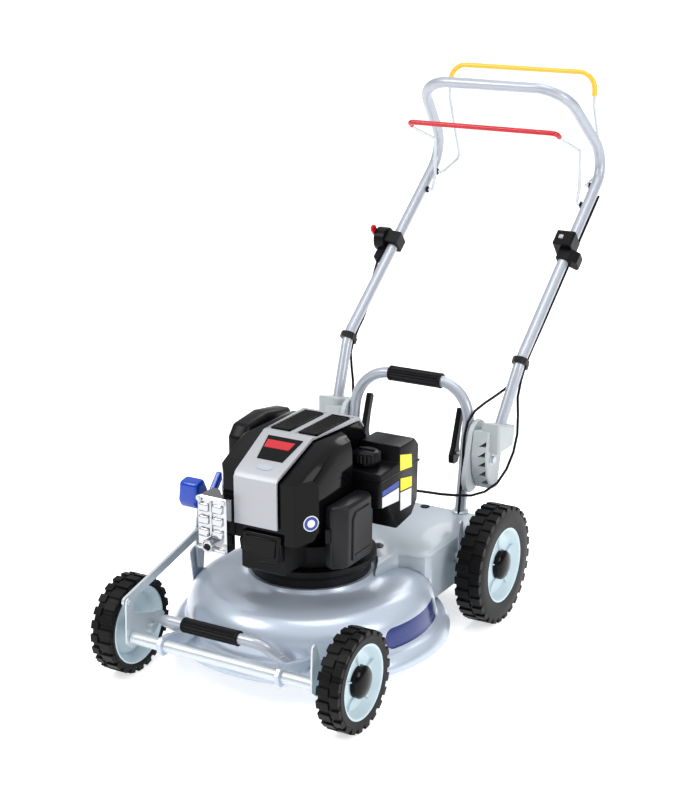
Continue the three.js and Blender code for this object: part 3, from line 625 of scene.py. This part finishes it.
WIRE_R = 3.5
SLEEVE_R = 6
DRIVE_BAIL = [(201.8, 1211, 838), (188, 1211, 838), (188, 1306, 862), (188, 1244, 1020), (186, 1249, 1095)]
DRIVE_BENDS = [6, 16, 40, 40]
BRAKE_BAIL = [(201.8, 1160, 802), (188, 1160, 802), (188, 1174, 836), (188, 1172, 924), (188, 1062, 964),
              (186, 1033, 982)]
BRAKE_BENDS = [6, 12, 14, 16, 12]


def bail(name, points, bends, sleeve_from, sleeve_finish, body):
    """A wire loop from one side tube to the other, with a plastic sleeve over its hand bar."""
    run = points + [(-x, y, z) for x, y, z in reversed(points)]
    wire = bent_tube(name + "_loop", run, bends + bends[::-1], WIRE_R, 16, 8)
    dress(wire, body, ZINC, name + "_wire")
    last, top = points[-2], points[-1]
    start = tuple(a + (b - a) * sleeve_from for a, b in zip(last, top))
    bar = [start, top, (-top[0], top[1], top[2]), (-start[0], start[1], start[2])]
    sleeve = bent_tube(name + "_grip", bar, [bends[-1]] * 2, SLEEVE_R, 20, 10)
    dress(sleeve, body, sleeve_finish, name + "_sleeve")


SHEATH_GROWTH = 0.0006
SHEATH_SMOOTH = 60


def sheath(name, node):
    """A copy of a cable's frame node, swelled a little all round."""
    frame_copy(node)
    bpy.ops.mesh.remove_doubles(threshold=MERGE_DISTANCE)
    bpy.ops.mesh.normals_make_consistent(inside=False)
    bpy.ops.transform.shrink_fatten(value=SHEATH_GROWTH)
    return settle(name, SHEATH_SMOOTH)


def controls():
    bail("drive_bail", DRIVE_BAIL, DRIVE_BENDS, 0.3, YELLOW, "drive_bail")
    bail("brake_bail", BRAKE_BAIL, BRAKE_BENDS, 0.45, RED, "brake_bail")
    for node, body, finish_of, width in (
            ("throttle_housing", "handle", BLACK, 1.6), ("throttle_lever", "throttle", RED, 0.8),
            ("start_switch", "handle", BLACK, 1.6), ("start_button", "button", COVER, 0.8),
            ("cable_clip_left", "handle", BLACK, 1.0), ("cable_clip_right", "handle", BLACK, 1.0)):
        dress(refined(node + "_moulding", node, width, 3), body, finish_of, node)
    for name, side in SIDES:
        for node, (_, y, z) in (("drive_bail", DRIVE_BAIL[0]), ("brake_bail", BRAKE_BAIL[0])):
            bore = WIRE_R - 0.3
            bush = turned(node + "_bush_" + name, [(bore, 0), (8, 0), (8, 2), (6, 4), (bore, 4)], "X",
                          (side * 200 - 2, y, z), 24)
            dress(bush, "handle", BLACK)
    for node in ("brake_cable", "drive_cable", "throttle_cable"):
        cable = sheath(node + "_sheath", node)
        cable.data.materials.append(BLACK.material)
        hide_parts(node)
        at(200, 700, 270)
        at(200, 790, 460)
        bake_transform(cable)


# ---------------------------------------------------------------- hinges
def hinges():
    for name, side in SIDES:
        plate, pivot = "hinge_plate_" + name, "clamp_bolt_" + name
        dress(refined("hinge_side_plate_" + name, plate, 1.2, 2), "deck", HINGE, plate)
        dress(socket(name, side), "handle", HINGE, "hinge_socket_" + name)
        dress(refined("clamp_pivot_bolt_" + name, pivot, 0.5, 2), "deck", ZINC, pivot)
        dress(refined("cam_clamp_lever_" + name, "cam_lever_" + name, 2.2, 3), "clamp_" + name, BLACK,
              "cam_lever_" + name)
        nut = bolt("hinge_nut_" + name, "X", (side * 206, 695, 318), 9, side * 7)
        dress(nut, "handle", ZINC)


POCKET_HEIGHTS = (262, 284, 306, 328, 350)


def socket(name, side):
    """The hinge's moulding, with a column of triangular pockets let into its front edge."""
    shell = refined("hinge_socket_shell_" + name, "hinge_socket_" + name, 2.5, 3)
    cutters = [prism("pocket", [(side * 184, z), (side * 202, z), (side * 202, z + 13)], "Y", 655, 700)
               for z in POCKET_HEIGHTS]
    return cut_by(shell, *cutters)


# ---------------------------------------------------------------- wheels
# seen is the radius down to which the tyre's outer wall hides the rim.
FRONT_WHEEL = {"radius": 100, "rim": 80, "seen": 74, "inner": 234, "outer": 283, "y": 0, "z": 100,
               "lugs": 22}
REAR_WHEEL = {"radius": 128, "rim": 88, "seen": 81, "inner": 237, "outer": 295, "y": 585, "z": 128,
              "lugs": 28}
LUG_SHARE = 0.31  # half a lug's length, as a share of the pitch
LUG_HEIGHT = 4.6
WHEEL_RIBS = 5
RIB_HALF = 1.3


def tyre(name, wheel, side, body, node):
    radius, low, high = wheel["radius"] - LUG_HEIGHT, wheel["inner"], wheel["outer"]
    rim = wheel["rim"]
    seen = wheel["seen"]
    wall = [(rim + 0.2, low + 2), (rim + 8, low), (radius - 8, low + 0.6), (radius - 1.6, low + 3),
            (radius, low + 9), (radius, high - 9), (radius - 1.6, high - 3), (radius - 8, high - 0.6),
            (rim + 8, high), (seen, high - 1.0), (seen, high - 3.2), (rim + 0.2, high - 3.2)]
    centre = (0, wheel["y"], wheel["z"])
    carcass = turned(name, [(r, side * x) for r, x in wall + wall[:1]], "X", centre, 96)
    middle = (low + high) / 2
    pitch = 2 * math.pi * radius / wheel["lugs"]
    lugs = []
    for row, (a, b) in enumerate(((low + 0.8, middle + 3), (middle + 6, high - 0.8))):
        outline = box_outline(side * a, wheel["y"] - pitch * LUG_SHARE,
                              side * b, wheel["y"] + pitch * LUG_SHARE)
        lug = prism("lug", outline, "Z", wheel["z"] + radius - 9,
                    wheel["z"] + wheel["radius"] - 0.6, 1.3, 2)
        lugs.append(repeated(lug, centre, "X", wheel["lugs"], math.pi / wheel["lugs"] * row))
    dress(joined(name, carcass, *lugs), body, TYRE, node)


def wheel_rim(name, wheel, side, body, node):
    rim, low, high = wheel["rim"], wheel["inner"], wheel["outer"]
    seen = wheel["seen"]
    face = [(8.7, low + 4), (26, low + 4), (26, high - 26), (rim - 18, high - 26), (rim - 12, low + 10),
            (rim - 3, low + 1.5), (rim, low + 2.5), (rim - 0.2, high - 4), (seen - 1, high - 1.2),
            (seen - 4, high - 1.8), (seen - 7, high - 6), (seen - 10, high - 15), (seen - 16, high - 20),
            (40, high - 19), (36, high - 16), (31, high - 15), (29, high - 12), (8.7, high - 12)]
    centre = (0, wheel["y"], wheel["z"])
    dish = turned(name, [(r, side * x) for r, x in face + face[:1]], "X", centre, 96)
    outline = [(high - 20, 30), (high - 10, 30), (high - 14, 44), (high - 13, seen - 10),
               (high - 20, seen - 8)]
    rib = prism("rib", [(side * x, wheel["z"] + r) for x, r in outline], "Y",
                wheel["y"] - RIB_HALF, wheel["y"] + RIB_HALF, 0.6, 2)
    ribs = repeated(rib, centre, "X", WHEEL_RIBS)
    dress(joined(name, dish, ribs), body, RIM, node)
    dome = [(0, 6), (10, 5.4), (20, 3.6), (28, 0.4), (31.6, -4), (32, -14), (0, -14)]
    cap = turned(name + "_hub_cap", [(r, side * (high + x)) for r, x in dome], "X", centre)
    dress(cap, body, GLOSS)


def wheels():
    for end, wheel in (("front", FRONT_WHEEL), ("rear", REAR_WHEEL)):
        for name, side in SIDES:
            key = end + "_" + name
            tyre("tyre_tread_" + key, wheel, side, end + "_wheel_" + name, "tyre_" + key)
            wheel_rim("wheel_rim_" + key, wheel, side, end + "_wheel_" + name, "rim_" + key)


# ---------------------------------------------------------------- engine
def engine():
    for node, finish_of, width in (
            ("crankcase", CASTING, 3.5), ("blower_housing", GLOSS, 4.0), ("air_filter_box", DARK, 4.0),
            ("fuel_tank", BLACK, 5.0), ("battery_pack", BLACK, 5.0), ("gearbox", CASTING, 4.0),
            ("top_cover", COVER, 3.0), ("muffler_guard", CHROME, 3.0), ("engine_base_ring", CASTING, 1.5)):
        dress(refined(node + "_body", node, width, 4), "deck", finish_of, node)
    grille("left", 15, 57)
    grille("right", -49, -5)
    badge()
    guard_details()
    fuel_cap()
    filter_details()
    battery_ribs()
    front_guard()
    tank_labels()


CROWN_Z = 488
GRILLE_Y = (206, 336)
GRILLE_BAR = 4
SLATS = 11


def grille(name, low, high):
    front, back = GRILLE_Y
    bars = [prism("bar", box_outline(*area), "Z", CROWN_Z - 2, CROWN_Z + 1.6, 0.8, 2) for area in (
        (low, front, high, front + GRILLE_BAR), (low, back - GRILLE_BAR, high, back),
        (low, front, low + GRILLE_BAR, back), (high - GRILLE_BAR, front, high, back))]
    # A closed black sheet under the slats: painted shade, standing for the dark opening of the grille
    # beneath them.
    bars.append(prism("slat_gap_shade_sheet", box_outline(low, front, high, back), "Z", CROWN_Z - 2, CROWN_Z - 1))
    pitch = (back - front) / SLATS
    for i in range(SLATS):
        y = front + pitch * i + 2
        section = [(y, CROWN_Z - 1.5), (y + 3.5, CROWN_Z - 1.5), (y + 7.5, CROWN_Z + 3.2),
                   (y + 5, CROWN_Z + 3.4)]
        bars.append(prism("slat", section, "X", low + 2, high - 2, 0.5, 2))
    dress(joined("cooling_grille_" + name, *bars), "deck", GLOSS)


PLAQUE_SINK = 0.3


def plaque(name, outline, place, out, thick):
    """A thin plate of an outline in (across, up), set a little into a face that looks along out."""
    out = Vector(out).normalized()
    across = AXES["Z"].cross(out).normalized()
    up = out.cross(across)
    draw([at(*place) + (across * a + up * b - out * PLAQUE_SINK) / 1000 for a, b in outline])
    bpy.ops.mesh.edge_face_add()
    bpy.ops.mesh.extrude_region_move(TRANSFORM_OT_translate={"value": out * ((thick + PLAQUE_SINK) / 1000)})
    return rounded(settle(name), 0.3, 1)


COVER_SLOPE = (0, -51, 110)
BADGE_PLACE = (4, 148, 468.5)
OVAL_PLACE = (4, 99, 445.8)
DISC_PLACE = (101.9, 108.8, 345)
SHOULDER = (0.8, -0.61, 0)


def badge():
    """A plain trapezoid with a red band, an oval below it, and a ringed disc on the housing's shoulder."""
    shield = [(-29, -34), (29, -34), (40, 32), (-40, 32)]
    band = [(-31, -2), (25, -2), (29, 20), (-34, 20)]
    oval = [(18 * a, 8.5 * b) for a, b in circle(1, 0, 0, 32)]
    for name, outline, place, out, thick, finish_of in (
            ("cover_badge", shield, BADGE_PLACE, COVER_SLOPE, 1.6, GLOSS),
            ("cover_badge_band", band, BADGE_PLACE, COVER_SLOPE, 2.4, RED),
            ("cover_oval_plate", oval, OVAL_PLACE, COVER_SLOPE, 1.2, HOUSING),
            ("shoulder_disc", circle(16, 0, 0, 40), DISC_PLACE, SHOULDER, 0.6, LABEL_WHITE),
            ("shoulder_disc_ring", circle(14, 0, 0, 40), DISC_PLACE, SHOULDER, 0.9, LABEL_BLUE),
            ("shoulder_disc_middle", circle(8, 0, 0, 40), DISC_PLACE, SHOULDER, 1.2, LABEL_WHITE)):
        dress(plaque(name, outline, place, out, thick), "deck", finish_of)


OUTLET = (-88, 0, 288)
GUARD_BACK = 53  # the embossing starts behind the guard's front face


def guard_details():
    bumps = []
    for x in (-106, -74):
        for z in (308, 334, 360):
            outline = box_outline(x - 12, z - 9, x + 12, z + 9)
            bumps.append(prism("bump", outline, "Y", GUARD_BACK, 44.5, 4.0, 4))
    lip = prism("lip", box_outline(-124, 270, -56, 280), "Y", GUARD_BACK, 46.5, 3.0, 3)
    rail = prism("rail", box_outline(-93, 276, -87, 374), "Y", GUARD_BACK, 47, 2.4, 3)
    dress(joined("muffler_guard_embossing", lip, rail, *bumps), "deck", CHROME)
    wall = [(12.5, 54), (12.5, 31), (11.5, 29.5), (10, 29.5), (9, 31), (9, 54), (12.5, 54)]
    pipe = turned("muffler_outlet_pipe", wall, "Y", OUTLET, 40)
    dress(pipe, "deck", CHROME)
    # A near-black disc just inside the pipe's mouth: painted shade, standing for the dark hollow of the
    # outlet.
    bore = turned("muffler_outlet_painted_shade", [(0, 33), (9.2, 33), (9.2, 36), (0, 36)], "Y", OUTLET, 32)
    dress(bore, "deck", CASTING)
    for x, z in ((-60, 284), (-60, 376), (-118, 376)):
        dress(bolt("muffler_guard_screw", "Y", (x, 50, z), 4.5, -4), "deck", ZINC)


FILLER = (110, 312)


def fuel_cap():
    x, y = FILLER
    cap = prism("fuel_filler_cap", ribbed(29, x, y, 20, 2.4), "Z", 416, 432)
    crown = turned("crown", [(0, 438), (20, 437), (25, 434), (26.5, 431), (0, 431)], "Z", (x, y, 0), 48)
    neck = turned("neck", [(0, 409), (22, 409), (22, 417), (0, 417)], "Z", (x, y, 0), 48)
    bar = prism("bar", box_outline(x - 18, y - 4, x + 18, y + 4), "Z", 436, 441, 1.5, 3)
    dress(joined("fuel_filler_cap", cap, crown, neck, bar), "filler_cap", BLACK, "fuel_cap")
    lip = prism("fuel_tank_seam", [(69, 300), (80, 270), (165.6, 270), (165.6, 436), (69, 436)], "Z",
                386, 391, 1.5, 2)
    dress(lip, "deck", BLACK)


def filter_details():
    outline = [(172, 256), (248, 256), (250, 340), (238, 356), (186, 356), (174, 342)]
    panel = prism("panel", outline, "X", 152, 159.5, 2.6)
    rib = prism("rib", box_outline(180, 264, 242, 269), "X", 156, 161, 1.0, 2)
    dress(joined("air_filter_panel", panel, rib), "deck", DARK)
    latch = prism("air_filter_latch", box_outline(120, 300, 131, 330), "Y", 139, 129, 2.2)
    dress(latch, "deck", BLACK)


def battery_ribs():
    ribs = [prism("rib", box_outline(y, 410, y + 5, 466), "X", -155, -158.4, 1.0, 2)
            for y in range(236, 380, 18)]
    dress(joined("battery_pack_ribs", *ribs), "deck", DARK)


def front_guard():
    outline = [(-34, 320), (-30, 284), (-14, 268), (10, 260), (52, 266), (56, 320)]
    inner = [(-24, 313), (-20, 288), (-8, 277), (12, 270), (44, 274), (47, 313)]
    plate = prism("plate", outline, "Y", 80, 70, 4.0, 4)
    panel = prism("panel", inner, "Y", 72, 66.5, 2.5, 3)
    dress(joined("lower_front_guard", plate, panel), "deck", GLOSS)
    for x, y in ((-70, 212), (70, 212), (-70, 338), (70, 338)):
        dress(bolt("engine_mount_bolt", "Z", (x * 1.25, y, 262), 6, 7), "deck", ZINC)


TANK_FACE = 165.2
LABELS = (
    ("tank_label_upper", LABEL_YELLOW, [(350, 390), (400, 384), (398, 412), (350, 424)]),
    ("tank_label_middle", LABEL_YELLOW, [(352, 346), (400, 342), (400, 364), (352, 373)]),
    ("tank_label_lower", LABEL_WHITE, [(352, 304), (398, 302), (399, 339), (352, 343)]),
    ("tank_label_wide", LABEL_WHITE, [(276, 334), (345, 328), (345, 356), (276, 356)]),
    ("tank_label_band", LABEL_BLUE, [(276, 358), (345, 358), (345, 371), (276, 369)]),
)


def tank_labels():
    for name, finish_of, outline in LABELS:
        dress(prism(name, outline, "X", TANK_FACE, TANK_FACE + 0.9, 0.3, 1), "deck", finish_of)


# ---------------------------------------------------------------- blade, axles and height lever
def running_gear():
    for node, body, finish_of, width in (
            ("crankshaft", "rotor", ZINC, 0.8), ("blade_boss", "rotor", CASTING, 1.5),
            ("blade", "rotor", BLADE, 0.6), ("front_axle_tube", "front_axle", ZINC, 0.6),
            ("rear_cross_shaft", "rear_axle", ZINC, 0.6),
            ("front_crank_left", "front_axle", ZINC, 0.7), ("front_crank_right", "front_axle", ZINC, 0.7),
            ("rear_crank_left", "rear_axle", ZINC, 0.7), ("rear_crank_right", "rear_axle", ZINC, 0.7),
            ("front_height_rod", "front_rod", ZINC, 0.7), ("rear_height_rod", "rear_rod", ZINC, 0.7),
            ("height_lever", "lever", ZINC, 0.7)):
        dress(refined(node + "_forged", node, width, 3), body, finish_of, node)
    outline = [(180, 302), (190, 285), (218, 289), (228, 318), (214, 348), (186, 343)]
    knob = prism("height_lever_handle", outline, "X", -264, -217, 8.0, 5)
    dress(knob, "lever", BLUE, "height_lever_knob")
    rest = prism("height_lever_thumb_rest", [(222, 306), (238, 300), (272, 338), (262, 350)], "X",
                 -222, -208, 4.0)
    dress(rest, "lever", BLUE)
    dress(bolt("lever_pivot_bolt", "X", (-235.5, *LEVER_PIVOT), 6, -5), "deck", ZINC)


deck()
housing()
tubes()
controls()
hinges()
wheels()
engine()
running_gear()
